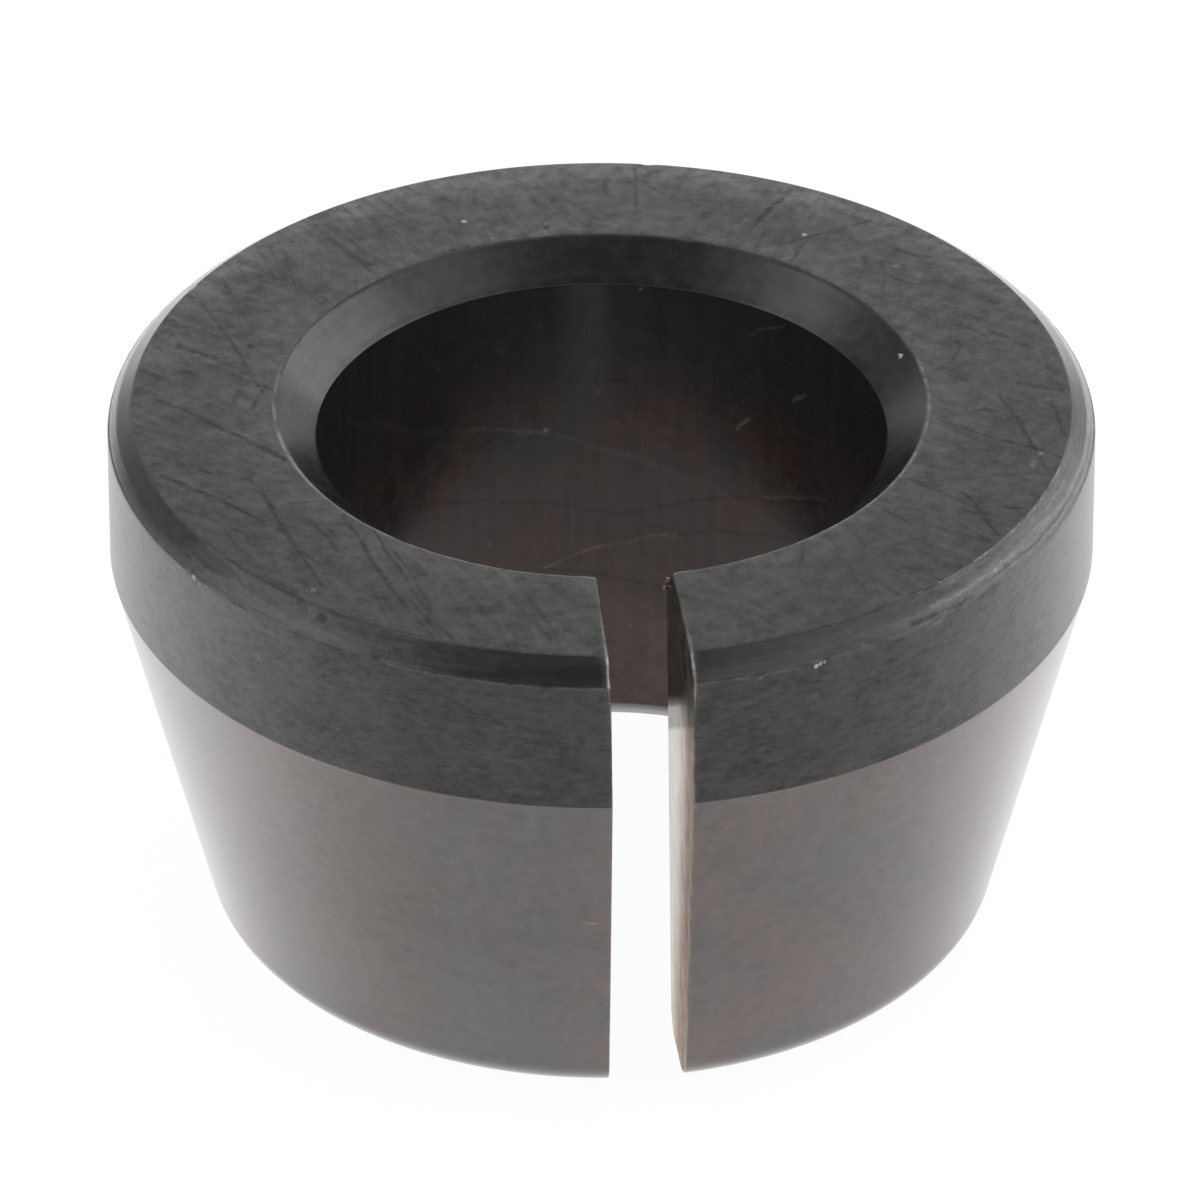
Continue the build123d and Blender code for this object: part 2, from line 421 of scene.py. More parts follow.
SIDE_MARKS = (       # arc from the slit (towards +X), z
    (1.0, 12.06, 3.4, 12.04, 0.04, -0.5), (-5.9, 12.05, -1.0, 12.05, 0.035, -0.2),
    (6.6, 11.95, 7.1, 12.05, 0.04, -0.8), (6.85, 9.5, 7.25, 9.7, 0.05, -0.5),
    (-9.6, 11.3, -9.3, 11.0, 0.05, -0.35), (2.9, 10.9, 3.3, 10.85, 0.05, -0.3),
    (-3.2, 10.1, -2.7, 10.05, 0.06, -0.25), (-6.8, 10.4, -6.3, 10.3, 0.07, 0.22),
    (4.8, 10.2, 5.5, 10.1, 0.08, 0.2), (-1.55, 5.42, -1.3, 5.32, 0.022, -0.8),
    (-1.3, 5.32, -1.08, 5.38, 0.022, -0.8), (-5.2, 5.15, -5.12, 5.2, 0.03, -0.7),
    (-5.18, 5.27, -5.1, 5.3, 0.025, -0.6), (-5.2, 5.38, -5.1, 5.42, 0.025, -0.6),
    (-8.1, 8.93, -3.6, 8.95, 0.03, -0.18), (1.2, 8.95, 4.4, 8.95, 0.03, -0.16),
)
SIDE_SPECKS = (
    (3.7, 11.99, 0.07, -7.0), (3.8, 12.0, 0.06, -6.0), (3.9, 12.02, 0.05, -6.0),
    (-11.5, 12.02, 0.08, -6.0), (-11.28, 11.96, 0.05, -3.0), (2.36, 12.02, 0.06, -1.0),
    (-7.5, 11.25, 0.07, 0.5), (5.4, 11.15, 0.06, -0.8), (-7.8, 8.93, 0.05, -0.5),
    (-7.2, 8.95, 0.05, -0.5), (-5.1, 8.93, 0.05, -0.5), (-3.9, 8.95, 0.05, -0.5),
    (2.3, 8.93, 0.05, -0.5), (-3.05, 2.75, 0.045, -0.6), (6.08, 7.0, 0.045, -0.5),
    (5.84, 3.32, 0.045, -0.5), (6.08, 2.12, 0.045, -0.5),
)


# ======================================== materials
BARE = (0.52, 0.50, 0.46)      # steel where the oxide is rubbed through
BARE_METAL = -0.45             # added to the metalness there
DARKEST = 0.05                 # shade never falls below this
CLOUD_GAIN = 12.0              # noise usually strays 1 / 12 from 0.5
LINE_EDGE = 0.12               # how softly a fine line fades, in units of its noise
HALF = (0.5, 0.5, 0.5)
MARK_BEND = (0.22, 0.22, 0.0)  # mm by which noise bends a mark, and frays its edge
MARK_FRAY = (0.13, 0.13, 0.0)
MARK_SOFT = 1.8                # a mark fades out at this many half widths from its line
SPECK_CORE = 0.35              # and a speck is full out to this part of its radius

TINTS = {                      # the two shades of oxide that a zone's slow noise goes between
    "face": ((0.1315, 0.1325, 0.128), (0.138, 0.131, 0.1255)),
    "rim": ((0.111, 0.112, 0.119), (0.115, 0.111, 0.112)),
    "band": ((0.062, 0.061, 0.059), (0.066, 0.060, 0.057)),
    "taper": ((0.205, 0.197, 0.193), (0.229, 0.191, 0.187)),
    "bore": ((0.058, 0.054, 0.051), (0.082, 0.049, 0.042)),
    "mouth": ((0.078, 0.080, 0.088), (0.083, 0.080, 0.083)),
    "sawn": ((0.085, 0.070, 0.062), (0.120, 0.066, 0.042)),
}
SAWN_SHEEN = ((0.98, 0.92, 0.86), (0.62, 0.45, 0.33))   # its reflections, inside and outside

FACE_STROKES = {               # angle in degrees, length, width (mm), seed, swing
    "left": (-43, 1.5, 0.17, 2.3, 0.11),
    "right": (-37, 1.3, 0.16, 6.1, 0.09),
    "front": (-71, 1.6, 0.15, 4.4, 0.11),
    "back left": (-64, 1.3, 0.12, 8.7, 0.08),
    "back right": (58, 1.3, 0.12, 9.9, 0.07),
}
FACE_LINES = {                 # angle in degrees, length, width (mm), seed, density
    "left": (-68, 3.2, 0.05, 1.3, 0.40),
    "left too": (-44, 2.6, 0.05, 7.1, 0.38),
    "right": (-40, 2.2, 0.045, 4.2, 0.38),
    "right too": (55, 1.8, 0.045, 9.4, 0.37),
    "back left": (-66, 2.0, 0.05, 15.0, 0.40),
}
FACE_LIGHT_LINES = (20, 1.8, 0.035, 12.5, 0.32)


class Graph:
    """A short way to write one material's nodes. Patterns are laid out in millimetres."""

    def __init__(self, name, coat_rough=0.22, coat=1.0, metal=0.75):
        """A material of black oxide with a film of oil over it, as yet with no pattern."""
        self.metal, self.coat = metal, coat
        self.mat = bpy.data.materials.new(name)
        self.mat.use_nodes = True
        self.nodes, self.links = self.mat.node_tree.nodes, self.mat.node_tree.links
        self.shader = self.nodes["Principled BSDF"]
        self.put(self.shader.inputs["Coat Weight"], coat)
        self.put(self.shader.inputs["Coat Roughness"], coat_rough)
        place = self.nodes.new("ShaderNodeTexCoord").outputs["Object"]
        self.p = self.vector("SCALE", place, scale=1 / MM)
        self.x, self.y, self.z = self.split(self.p)
        self.worn, self.cut = self.attribute("wear"), self.attribute("cut")

    def attribute(self, name):
        node = self.nodes.new("ShaderNodeAttribute")
        node.attribute_name = name
        return node.outputs["Fac"]

    def put(self, socket, value):
        """Link a socket to another's output, or set its own value."""
        if isinstance(value, bpy.types.NodeSocket):
            self.links.new(value, socket)
        elif isinstance(value, (tuple, list)) and len(value) == 3 and socket.type == "RGBA":
            socket.default_value = (*value, 1)
        else:
            socket.default_value = value

    def math(self, operation, a, b=0.0, c=0.0, clamp=False):
        node = self.nodes.new("ShaderNodeMath")
        node.operation, node.use_clamp = operation, clamp
        for socket, value in zip(node.inputs, (a, b, c)):
            self.put(socket, value)
        return node.outputs[0]

    def add(self, *terms):
        return reduce(lambda a, b: self.math("ADD", a, b), terms)

    def times(self, *terms):
        return reduce(lambda a, b: self.math("MULTIPLY", a, b), terms)

    def less(self, dark):
        """What is left of 1 once dark is taken off."""
        return self.math("SUBTRACT", 1.0, dark)

    def vector(self, operation, a, b=(0, 0, 0), scale=1.0):
        node = self.nodes.new("ShaderNodeVectorMath")
        node.operation = operation
        self.put(node.inputs[0], a)
        if operation == "SCALE":
            self.put(node.inputs["Scale"], scale)
        else:
            self.put(node.inputs[1], b)
        one_number = operation in ("LENGTH", "DISTANCE", "DOT_PRODUCT")
        return node.outputs["Value" if one_number else "Vector"]

    def split(self, v):
        node = self.nodes.new("ShaderNodeSeparateXYZ")
        self.put(node.inputs[0], v)
        return node.outputs

    def join(self, x, y, z=0.0):
        node = self.nodes.new("ShaderNodeCombineXYZ")
        for socket, value in zip(node.inputs, (x, y, z)):
            self.put(socket, value)
        return node.outputs[0]

    def noise(self, at, scale=1.0, detail=2.0, rough=0.5, warp=0.0, out="Fac"):
        node = self.nodes.new("ShaderNodeTexNoise")
        self.put(node.inputs["Vector"], at)
        values = {"Scale": scale, "Detail": detail, "Roughness": rough, "Distortion": warp}
        for key, value in values.items():
            node.inputs[key].default_value = value
        return node.outputs[out]

    def ramp(self, value, low, high, out_low=0.0, out_high=1.0):
        """A smooth step from out_low to out_high as value goes from low to high."""
        node = self.nodes.new("ShaderNodeMapRange")
        node.interpolation_type = "SMOOTHSTEP"
        for socket, v in zip(list(node.inputs)[:5], (value, low, high, out_low, out_high)):
            self.put(socket, v)
        return node.outputs[0]

    def mix(self, fac, a, b):
        """The colour a where fac is 0, and b where it is 1."""
        node = self.nodes.new("ShaderNodeMix")
        node.data_type = "RGBA"
        self.put(node.inputs[0], fac)
        self.put(node.inputs[6], a)
        self.put(node.inputs[7], b)
        return node.outputs[2]

    def relief(self, height, depth_mm):
        node = self.nodes.new("ShaderNodeBump")
        node.inputs["Strength"].default_value = 1.0
        node.inputs["Distance"].default_value = depth_mm * MM
        self.put(node.inputs["Height"], height)
        return node.outputs[0]

    # ---- patterns
    def cloud(self, at, scale, swing, detail=3.0, rough=0.6, seed=0.0):
        """Soft patches, scale of them to a mm: a number about 0, swing its usual size."""
        if seed:
            at = self.vector("ADD", at, (seed, -seed, seed))
        patches = self.math("SUBTRACT", self.noise(at, scale, detail, rough), 0.5)
        return self.times(patches, CLOUD_GAIN * swing)

    def stretched(self, across, up, swing, detail=3.0, rough=0.6):
        """A cloud drawn out into streaks: its scale is across in x and y, and up in z."""
        x, y, z = (self.times(v, s) for v, s in zip((self.x, self.y, self.z), (across, across, up)))
        return self.cloud(self.join(x, y, z), 1.0, swing, detail, rough)

    def fibres(self, along, across, length, width, seed, density):
        """Short fine lines about length by width mm: 1 on a line."""
        at = self.join(self.times(along, 1 / length), self.times(across, 1 / width), seed)
        return self.ramp(self.noise(at, detail=0.0), 1 - density, 1 - density + LINE_EDGE)

    def scratched(self, angle, length, width, seed, density, where):
        """Fine lines that all run at about one angle, in degrees, in the plane of the face."""
        c, s = math.cos(math.radians(angle)), math.sin(math.radians(angle))
        along = self.add(self.times(self.x, c), self.times(self.y, s))
        waver = self.cloud(self.join(self.x, self.y), 0.16, 0.35, 1.0, seed=seed)
        across = self.add(self.times(self.x, -s), self.times(self.y, c), waver)
        return self.times(self.fibres(along, across, length, width, seed, density), where)

    def strokes(self, angle, length, width, seed, swing, where):
        """Soft rubbed streaks at one angle, in degrees, in the plane of the face."""
        c, s = math.cos(math.radians(angle)), math.sin(math.radians(angle))
        along = self.add(self.times(self.x, c / length), self.times(self.y, s / length))
        waver = self.cloud(self.join(self.x, self.y), 0.25, 0.10, 1.0, seed=seed)
        across = self.add(self.times(self.x, -s / width), self.times(self.y, c / width))
        across = self.add(across, self.times(waver, 1 / width))
        return self.times(self.cloud(self.join(along, across, seed), 1.0, swing), where)

    def marks(self, at, marks, specks):
        """The named marks and specks, as one number: how much darker the surface is there."""
        bend = self.vector("SUBTRACT", self.noise(at, 1.1, 1.0, out="Color"), HALF)
        fray = self.vector("SUBTRACT", self.noise(at, 6.0, 2.0, out="Color"), HALF)
        bend = self.vector("MULTIPLY", bend, MARK_BEND)
        fray = self.vector("MULTIPLY", fray, MARK_FRAY)
        at = self.vector("ADD", at, self.vector("ADD", bend, fray))
        total = 0.0
        for x0, y0, x1, y1, width, strength in marks:
            total = self.along_mark(total, at, (x0, y0), (x1, y1), width, strength)
        patchy = self.ramp(self.noise(at, 2.6, 4.0, 0.7), 0.34, 0.60, 0.40, 1.45)
        total = self.times(total, patchy)
        for x, y, radius, strength in specks:
            far = self.vector("DISTANCE", at, (x, y, 0))
            spot = self.ramp(far, radius, radius * SPECK_CORE)
            total = self.math("MULTIPLY_ADD", spot, strength, total)
        return total

    def along_mark(self, total, at, start, end, width, strength):
        """total with one straight mark added to it."""
        start, end = Vector((*start, 0)), Vector((*end, 0))
        run = end - start
        from_start = self.vector("SUBTRACT", at, tuple(start))
        reach = self.vector("DOT_PRODUCT", from_start, tuple(run.normalized()))
        reach = self.math("MINIMUM", self.math("MAXIMUM", reach, 0.0), run.length)
        nearest = self.vector("SCALE", tuple(run.normalized()), scale=reach)
        far = self.vector("DISTANCE", from_start, nearest)
        return self.math("MULTIPLY_ADD", self.ramp(far, width * MARK_SOFT, 0.0), strength, total)

    def side(self):
        """Where the point lies on the outside: arc from the slit towards +X, mm."""
        return self.times(self.math("ARCTAN2", self.x, self.times(self.y, -1.0)), HEAD_R)

    def finish(self, colour, shade, rough, normal, bare, broken=2.2, where=1.0, film=0.0, cut=0.5):
        """Set the shader: colour times shade, with bare metal where the edges are worn.

        bare is how much of it the turned edges show, in patches, broken of them to a mm, and only
        where says; cut is how much the slit's edges show; film thins the oil on the darker spots.
        """
        shade = self.math("MAXIMUM", shade, DARKEST)
        colour = self.vector("SCALE", colour, scale=shade)
        patchy = self.ramp(self.noise(self.p, broken, 4.0, 0.7), 0.36, 0.60, 0.15, 1.1)
        at_edges = self.times(self.math("POWER", self.worn, 1.3), patchy, bare, where)
        patchy = self.ramp(self.noise(self.p, 1.9, 3.0, 0.7), 0.36, 0.62, 0.25, 1.0)
        worn = self.add(at_edges, self.times(self.cut, cut, patchy))
        self.put(self.shader.inputs["Base Color"], self.mix(worn, colour, BARE))
        metal = self.math("MULTIPLY_ADD", worn, BARE_METAL, self.metal)
        self.put(self.shader.inputs["Metallic"], metal)
        if film:
            oil = self.math("MULTIPLY_ADD", shade, film, 1.0 - film, clamp=True)
            self.put(self.shader.inputs["Coat Weight"], self.times(oil, self.coat))
        self.put(self.shader.inputs["Roughness"], rough)
        self.put(self.shader.inputs["Normal"], normal)
        return self.mat


def face_steel():
    """The lapped face: satin and mottled, rubbed by hand in several directions, and scratched, with
    painted light towards the back and painted shade along the front's outer edge.
    """
    g = Graph("steel_face", 0.32)
    plan = g.join(g.x, g.y)
    fine = g.times(g.cloud(plan, 8.0, 0.09, 2.0, seed=3.0), g.ramp(g.y, 2.0, 8.0, 1.0, 0.3))
    mottle = g.add(g.cloud(plan, 2.7, 0.20, 4.0, 0.62), g.cloud(plan, 0.8, 0.13, seed=5.0), fine)
    strokes_at = {
        "left": g.ramp(g.x, -5.0, -7.5),
        "right": g.ramp(g.x, 4.5, 7.0),
        "front": g.times(g.ramp(g.y, -4.0, -6.5), g.ramp(g.x, 3.5, -1.0, 0.35, 1.0)),
        "back left": g.times(g.ramp(g.y, 4.5, 6.5), g.ramp(g.x, 2.0, 0.0)),
        "back right": g.times(g.ramp(g.y, 4.5, 6.5), g.ramp(g.x, 1.0, 3.0)),
    }
    rubbed = g.add(*(g.strokes(*FACE_STROKES[part], at) for part, at in strokes_at.items()))
    patches = g.ramp(g.noise(plan, 0.35, 1.0), 0.40, 0.58)
    others = g.ramp(g.noise(g.vector("ADD", plan, (20, 7, 0)), 0.4, 1.0), 0.40, 0.58)
    left = g.ramp(g.add(g.x, g.times(g.y, 0.2)), 1.5, -2.5)
    right = g.less(left)
    lines_at = {
        "left": g.times(left, patches),
        "left too": g.times(left, others),
        "right": g.times(right, patches),
        "right too": g.times(right, others),
        "back left": g.times(g.ramp(g.y, 2.0, 7.0), left),
    }
    lines = g.add(*(g.scratched(*FACE_LINES[part], at) for part, at in lines_at.items()))
    light = g.scratched(*FACE_LIGHT_LINES, 1.0)
    marks = g.marks(plan, FACE_MARKS, FACE_SPECKS)

    # painted light: brighter towards the back, at the inner edge and along the back's outer edge
    far = g.vector("LENGTH", plan)
    inner = g.ramp(far, 7.3, 8.4, 0.18, 0.0)
    outer = g.times(g.ramp(far, 9.0, 10.2), g.ramp(g.y, -1.0, 9.0, 0.0, 0.62))
    back = g.ramp(g.y, 7.8, 9.2, 0.0, 0.16)
    level = g.add(g.ramp(g.y, -10.0, 10.0, 0.66, 0.92), inner, outer, back)
    # and painted shade: darker in a thin line along the front's outer edge, which fades out to the
    # right
    painted_edge_shade = g.ramp(far, 10.32, 10.44)
    painted_edge_shade = g.times(painted_edge_shade, g.ramp(g.y, -3.0, -6.0), g.ramp(g.x, 7.0, 2.0, 0.0, 0.36))
    shade = g.add(1.0, mottle, rubbed, g.times(lines, -0.26), g.times(light, 0.12))
    shade = g.times(shade, level, g.less(g.add(g.times(marks, 1.3), painted_edge_shade)))

    warm = g.ramp(g.add(g.times(g.y, 0.06), g.cloud(plan, 1.1, 0.6)), -0.7, 0.9)
    rough = g.add(0.42, g.times(mottle, 0.10))
    hollow = g.add(g.times(mottle, 0.4), g.times(lines, -0.5))
    return g.finish(
        g.mix(warm, *TINTS["face"]), shade, rough, g.relief(hollow, 0.004), bare=0.6, broken=1.5,
        where=g.ramp(g.y, 3.5, -1.0, 0.12, 1.0), cut=g.ramp(far, 8.2, 10.0, 0.12, 0.5))


def rim_steel():
    """The chamfer round the face: fine turned lines, dark beside the slit, with painted light
    making it pale to the far left and painted shade along part of its top edge.
    """
    g = Graph("steel_rim")
    arc, down = g.side(), g.times(g.math("SUBTRACT", HEIGHT, g.z), math.sqrt(2))
    long = g.cloud(g.join(g.times(arc, 0.30), g.times(down, 12.0)), 1.0, 0.12, 4.0, 0.7)
    short = g.cloud(g.join(g.times(arc, 1.6), g.times(down, 9.0)), 1.0, 0.08, 3.0, 0.7)
    lines = g.add(long, short)
    stain = g.cloud(g.p, 3.0, 0.10, 4.0, 0.7, seed=4.0)
    marks = g.marks(g.join(arc, down), RIM_MARKS, RIM_SPECKS)
    calm = g.ramp(g.math("ABSOLUTE", g.add(arc, -1.0)), 4.0, 7.0, 0.45, 1.0)
    calm = g.times(calm, g.ramp(arc, -14.0, -11.5, 0.45, 1.0))

    # dark left of the slit, most of all below a line that leaves the face beside it
    deep = g.ramp(g.add(down, g.times(arc, 0.1)), 0.0, 0.2, 0.17, 0.40)
    wedge = g.times(g.ramp(arc, -6.2, -3.5), g.ramp(arc, 0.5, -0.5), deep)
    # the upper half is a little darker further left, and right of the slit
    upper = g.times(g.ramp(arc, -11.5, -9.5), g.ramp(arc, -5.5, -7.0), 0.12)
    upper = g.times(g.ramp(down, 0.36, 0.20), g.add(upper, g.ramp(arc, 0.5, 2.5, 0.0, 0.10)))
    # painted shade: a dark crease line where the chamfer leaves the face
    crease = g.times(g.ramp(down, 0.10, 0.05), g.ramp(arc, -4.6, -3.6), g.ramp(arc, 8.0, 5.5), 0.40)
    # and painted light: a paler lower half, from the far left towards the wedge
    lower = g.times(g.ramp(down, 0.44, 0.70), g.ramp(arc, -13.0, -10.5, 0.75, 0.10))
    lower = g.times(lower, g.ramp(arc, -4.0, -5.5))
    dark = g.add(marks, wedge, upper, crease, g.times(lower, -1.0))

    shade = g.times(g.add(1.0, g.times(g.add(lines, stain), calm)), g.less(dark))
    rough = g.add(0.32, g.times(stain, 0.25))
    tint = g.mix(g.ramp(g.noise(g.p, 0.8, 2.0), 0.42, 0.60), *TINTS["rim"])
    normal = g.relief(g.times(lines, calm), 0.006)
    return g.finish(tint, shade, rough, normal, bare=0.30, film=0.35, cut=0.9)


def band_steel():
    """The cylindrical band: ground, with a grainy mottle and short streaks round it."""
    g = Graph("steel_band", 0.30)
    ground = g.join(g.x, g.y, g.times(g.z, 1.9))
    mottle = g.add(g.cloud(ground, 3.8, 0.20, 5.0, 0.75), g.cloud(g.p, 0.9, 0.09, seed=5.0))
    marks = g.marks(g.join(g.side(), g.z), SIDE_MARKS, SIDE_SPECKS)
    streak = g.stretched(1.6, 8.0, 0.12, 4.0, 0.7)
    light = g.ramp(g.noise(ground, 3.4, 1.0), 0.68, 0.80)
    shade = g.times(g.add(1.0, mottle, streak, g.times(light, 0.6)), g.less(marks))
    rough = g.add(0.42, g.times(mottle, 0.12))
    tint = g.mix(g.ramp(g.noise(g.p, 0.7, 2.0), 0.42, 0.58), *TINTS["band"])
    normal = g.relief(g.add(mottle, streak), 0.009)
    return g.finish(
        tint, shade, rough, normal, bare=0.32, film=0.30, cut=g.ramp(g.z, 11.2, 12.0, 0.45, 0.6))


def taper_steel():
    """The taper: turned smooth, lighter and a little pink, in faint blotches, with painted light
    brightening it towards the foot.
    """
    g = Graph("steel_taper")
    turned = g.stretched(0.12, 20.0, 0.012, 2.0)
    blotch = g.add(g.cloud(g.p, 3.2, 0.05, 4.0, 0.7), g.cloud(g.p, 0.5, 0.03, seed=6.0))
    specks = g.ramp(g.noise(g.p, 5.2, 1.0), 0.76, 0.82)
    marks = g.marks(g.join(g.side(), g.z), SIDE_MARKS, SIDE_SPECKS)
    # painted light: the shade rises towards the foot
    shade = g.add(g.ramp(g.z, 5.0, 0.5, 1.0, 1.22), turned, blotch, g.times(specks, 0.18))
    shade = g.times(shade, g.less(g.times(marks, 0.5)))
    rough = g.add(0.30, g.times(blotch, 0.3))
    warm = g.ramp(g.add(g.noise(g.p, 0.22, 2.0), g.cloud(g.p, 1.1, 0.05, 2.0)), 0.36, 0.62)
    tint = g.mix(warm, *TINTS["taper"])
    normal = g.relief(g.add(turned, blotch), 0.002)
    return g.finish(tint, shade, rough, normal, bare=0.35, film=0.35, cut=0.45)


def foot_steel():
    """The foot round and the break at the foot of the bore; painted shade darkens it where it meets
    the bore.
    """
    g = Graph("steel_foot")
    far = g.vector("LENGTH", g.join(g.x, g.y))
    # painted shade where the break meets the bore; the coat thins there too
    painted_shade = g.times(g.ramp(g.z, 0.06, 0.46), g.ramp(far, 7.2, 6.9))
    blotch = g.add(g.cloud(g.p, 3.2, 0.06, 4.0, 0.7), g.cloud(g.p, 0.6, 0.04, seed=6.0))
    shade = g.times(g.add(1.16, blotch), g.less(g.times(painted_shade, 0.75)))
    tint = g.mix(g.ramp(g.noise(g.p, 0.3, 2.0), 0.36, 0.62), *TINTS["taper"])
    rough = g.add(0.30, g.times(blotch, 0.3))
    g.put(g.shader.inputs["Coat Weight"], g.ramp(painted_shade, 0.0, 1.0, 1.0, 0.15))
    return g.finish(tint, shade, rough, g.relief(blotch, 0.002), bare=0.35, cut=0.45)


def bore_steel():
    """The bore: brown lower down, with upright streaks, and painted shade darkening it towards the
    foot.
    """
    g = Graph("steel_bore", 0.24, coat=0.24, metal=0.55)
    arc = g.times(g.math("ARCTAN2", g.times(g.x, -1.0), g.y), BORE_R)
    upright = g.stretched(3.5, 0.22, 0.07, 4.0, 0.6)
    blotch = g.add(g.cloud(g.p, 1.8, 0.08, 4.0, 0.65), g.cloud(g.p, 6.0, 0.04, 2.0))
    blotch = g.times(blotch, g.ramp(g.z, 9.5, 7.0, 0.5, 1.25))
    marks = g.marks(g.join(arc, g.z), BORE_MARKS, BORE_SPECKS)
    brown = g.ramp(g.noise(g.p, 0.55, 3.0, 0.6, 0.4), 0.38, 0.60)
    brown = g.times(brown, g.ramp(g.z, 10.0, 8.0))
    brown = g.math("MAXIMUM", brown, g.ramp(g.z, 8.0, 4.5, 0.0, 0.8))
    # painted shade: darker deeper in the bore, a little lighter again near its foot
    level = g.add(g.ramp(g.z, 11.5, 5.0, 0.92, 0.48), g.ramp(g.z, 5.0, 2.0, 0.0, 0.30))
    shade = g.times(g.add(1.0, upright, blotch), g.less(marks), level)
    rough = g.add(0.27, g.times(blotch, 0.2))
    normal = g.relief(g.add(g.times(upright, 0.6), g.times(blotch, 0.3)), 0.0015)
    return g.finish(
        g.mix(brown, *TINTS["bore"]), shade, rough, normal, bare=0.4, film=0.5, cut=0.35)


def mouth_steel():
    """The wide chamfer at the mouth of the bore: bluish, with a darker line at its foot."""
    g = Graph("steel_mouth", coat=0.8)
    turned = g.stretched(0.3, 14.0, 0.05)
    blotch = g.add(g.cloud(g.p, 2.2, 0.09, 5.0, 0.72), g.cloud(g.p, 0.5, 0.04, seed=2.0))
    marks = g.marks(g.join(g.x, g.y), (), MOUTH_SPECKS)
    low = g.ramp(g.add(g.z, g.cloud(g.p, 1.6, 0.05)), 11.80, 11.99, 0.72, 1.0)
    shade = g.times(g.add(1.0, turned, blotch), g.less(marks), low)
    rough = g.add(0.26, g.times(blotch, 0.3))
    tint = g.mix(g.ramp(g.noise(g.p, 1.0, 3.0, 0.6), 0.42, 0.60), *TINTS["mouth"])
    top_edge = g.times(g.ramp(g.y, 3.5, -1.0), g.ramp(g.z, 12.2, 12.4))
    normal = g.relief(g.add(turned, blotch), 0.002)
    return g.finish(
        tint, shade, rough, normal, bare=0.6, broken=1.5, where=top_edge, film=0.3, cut=0.45)


def sawn_steel():
    """The slit's walls: bright from the saw, rusty near the outside, with painted shade above that
    dims their reflections too.
    """
    g = Graph("steel_sawn", 0.25, coat=0.0, metal=0.9)
    below = g.math("MAXIMUM", g.math("SUBTRACT", TAPER_TOP, g.z), 0.0)
    edge_r = g.math("MULTIPLY_ADD", below, -math.tan(TAPER), HEAD_R)
    from_edge = g.math("SUBTRACT", edge_r, g.vector("LENGTH", g.join(g.x, g.y)))
    outer = g.ramp(g.add(from_edge, g.cloud(g.p, 1.3, 0.05)), 0.5, 3.2, 1.0, 0.0)
    # painted shade over the walls' upper part, in their colour and in the tint of their reflections
    painted_shade = g.ramp(g.math("MULTIPLY_ADD", g.add(g.y, 7.0), 0.66, g.z), 8.25, 8.5)
    streak = g.cloud(g.join(1.0, g.times(g.y, 2.6), g.times(g.z, 0.12)), 1.0, 0.10)
    sheen = g.times(g.add(1.0, streak), g.ramp(painted_shade, 0.0, 1.0, 1.0, 0.36))
    sheen = g.vector("SCALE", g.mix(outer, *SAWN_SHEEN), scale=sheen)
    g.put(g.shader.inputs["Specular Tint"], sheen)
    saw = g.cloud(g.join(3.0, g.times(g.y, 7.0), g.times(g.z, 0.35)), 1.0, 0.10, 4.0, 0.65)
    blotch = g.cloud(g.join(8.0, g.times(g.y, 1.5), g.times(g.z, 0.6)), 1.0, 0.06)
    rust = g.noise(g.join(1.0, g.times(g.y, 3.0), g.times(g.z, 0.4)), 1.0, 2.0)
    tint = g.mix(g.ramp(rust, 0.42, 0.62), *TINTS["sawn"])
    shade = g.times(g.add(1.0, saw, blotch), g.ramp(painted_shade, 0.0, 1.0, 1.0, 0.42))
    rough = g.add(0.10, g.times(blotch, 0.2), g.times(outer, 0.20))
    return g.finish(tint, shade, rough, g.relief(saw, 0.0012), bare=0.4)


MATERIALS = {
    "face": face_steel, "rim": rim_steel, "band": band_steel, "taper": taper_steel,
    "foot": foot_steel, "bore": bore_steel, "mouth": mouth_steel, "sawn": sawn_steel,
}


# ======================================== studio
BOXES = {                  # direction of the box, its width and height (m), its radiance
    "box_right": ((0.86, 0.22, 0.36), 0.46, 0.34, 0.75),
    "box_left": ((-0.76, 0.00, 0.62), 0.24, 0.18, 0.50),
}
BOX_FAR = 0.4              # m
ROOM_FILL = 0.75           # the room as it lights matt things
WALLS = 0.55               # the room as it shows in the steel
WALL_LEFT = 0.72           # times this on the left
CORNER = (-0.10, -0.44, 0.89)            # direction of the room's dark corner
CORNER_LEVEL = 0.07
CORNER_COSINES = (0.78, 0.985)           # of the angles over which it fades in
DARK_PANEL = (-0.68, 0.63, 0.37)         # direction of a darker piece of wall
PANEL_LEVEL = 0.45                       # times this there
PANEL_COSINES = (0.94, 0.985)
TABLE_SIZE = 4.0           # m
TABLE_GAP = 0.01           # mm under the foot, so that the two surfaces don't coincide
TABLE_WHITE = (0.9, 0.9, 0.9)
TABLE_GLOW = 0.88          # how much of its look is its own light; the rest takes the shadow
TABLE_LEVEL = 1.08
TABLE_FRONT, TABLE_REST = 0.57, 1.15     # its level as it shows in the steel
INSIDE = (0.0080, 0.0092)                # m: inside the ring's foot it shows at TABLE_REST


class Nodes(Graph):
    """The same shorthand for the world and the table, which have no Principled shader."""

    def __init__(self, tree):
        self.nodes, self.links = tree.nodes, tree.links
        self.nodes.clear()
        self.path = self.nodes.new("ShaderNodeLightPath").outputs

    def blend(self, fac, a, b):
        """The number a where fac is 0, and b where it is 1."""
        node = self.nodes.new("ShaderNodeMix")
        self.put(node.inputs[0], fac)
        self.put(node.inputs[2], a)
        self.put(node.inputs[3], b)
        return node.outputs[0]

    def mix_shader(self, fac, a, b):
        node = self.nodes.new("ShaderNodeMixShader")
        for socket, value in zip(node.inputs, (fac, a.outputs[0], b.outputs[0])):
            self.put(socket, value)
        return node

    def new(self, kind, **values):
        """A node with some of its sockets set by name."""
        node = self.nodes.new(kind)
        for key, value in values.items():
            self.put(node.inputs[key], value)
        return node


